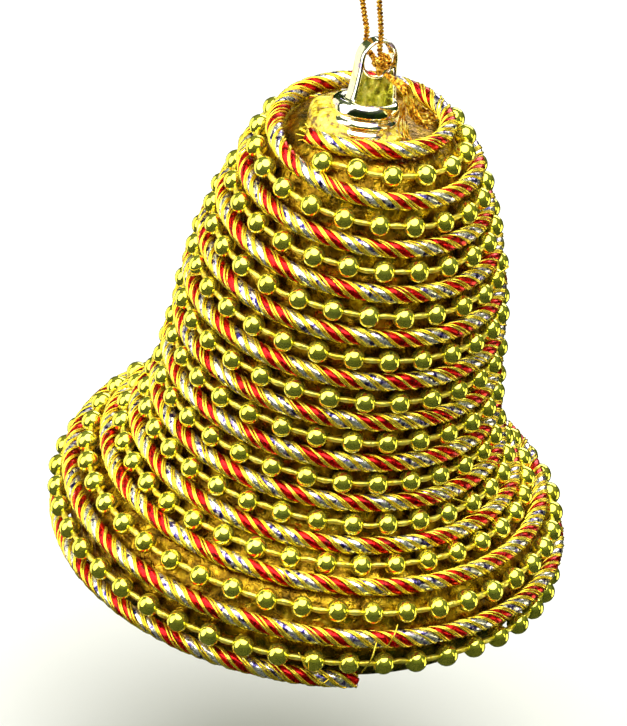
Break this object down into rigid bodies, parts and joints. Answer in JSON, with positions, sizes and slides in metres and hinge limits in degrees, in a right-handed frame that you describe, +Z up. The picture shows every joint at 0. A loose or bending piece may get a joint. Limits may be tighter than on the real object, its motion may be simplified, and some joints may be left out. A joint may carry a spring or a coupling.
{
  "type": "christmas bell ornament",
  "caption": "Hanging bell ornament: a hollow flared bell wound with a bead garland and a twisted foil cord, under a tiered cap with a ring eye and thread loop; a clapper swings inside.",
  "frame": {"origin": "inside of the thread loop's top, where a hook or a twig carries the bell", "axes": "+Z up along the bell's own axis, +X to the right with the bell seen from its front (-Y); the bell hangs below the origin"},
  "size_m": [0.0759, 0.0757, 0.1258],
  "materials": {
    "core_gold": "amber gold metallised plastic",
    "bead_gold": "mirror-bright metallised plastic",
    "foil_cord": "red and silver foil strands edged with gold",
    "cap_metal": "champagne mirror-metallised plastic",
    "glue": "hot-melt glue",
    "gold_thread": "braided metallic thread",
    "wire": "bright wire"
  },
  "bodies": {
    "hanger": {"hanger_loop": "gold_thread"},
    "knot": {"hanger_knot": "gold_thread"},
    "bell": {"bell_shell": "core_gold", "bead_garland": "bead_gold", "twisted_cord": "foil_cord", "cap": "cap_metal", "cap_glue": "glue", "hanger_tail_front": "gold_thread", "hanger_tail_side": "gold_thread", "clapper_hook": "wire"},
    "clapper_link": {"clapper_ring": "wire"},
    "clapper": {"clapper_wire": "wire", "clapper_ball": "bead_gold"}
  },
  "joints": [
    {"name": "bell_swing_front_back", "type": "hinge", "parent": "hanger", "child": "knot", "pos_m": [-0.00171, 0.00205, -0.03896], "axis": [0.77, 0.6169, 0.1628], "range_deg": [-30, 30]},
    {"name": "bell_swing_side", "type": "hinge", "parent": "knot", "child": "bell", "pos_m": [-0.00091, 0.00178, -0.04167], "axis": [0.5734, -0.781, 0.2475], "range_deg": [-25, 25]},
    {"name": "clapper_swing_front_back", "type": "hinge", "parent": "bell", "child": "clapper_link", "pos_m": [-0.00116, -0.00288, -0.061], "axis": [1, 0, 0], "range_deg": [-11, 14]},
    {"name": "clapper_swing_side", "type": "hinge", "parent": "clapper_link", "child": "clapper", "pos_m": [-0.00116, -0.00288, -0.06365], "axis": [0, 1, 0], "range_deg": [-14, 14]}
  ]
}
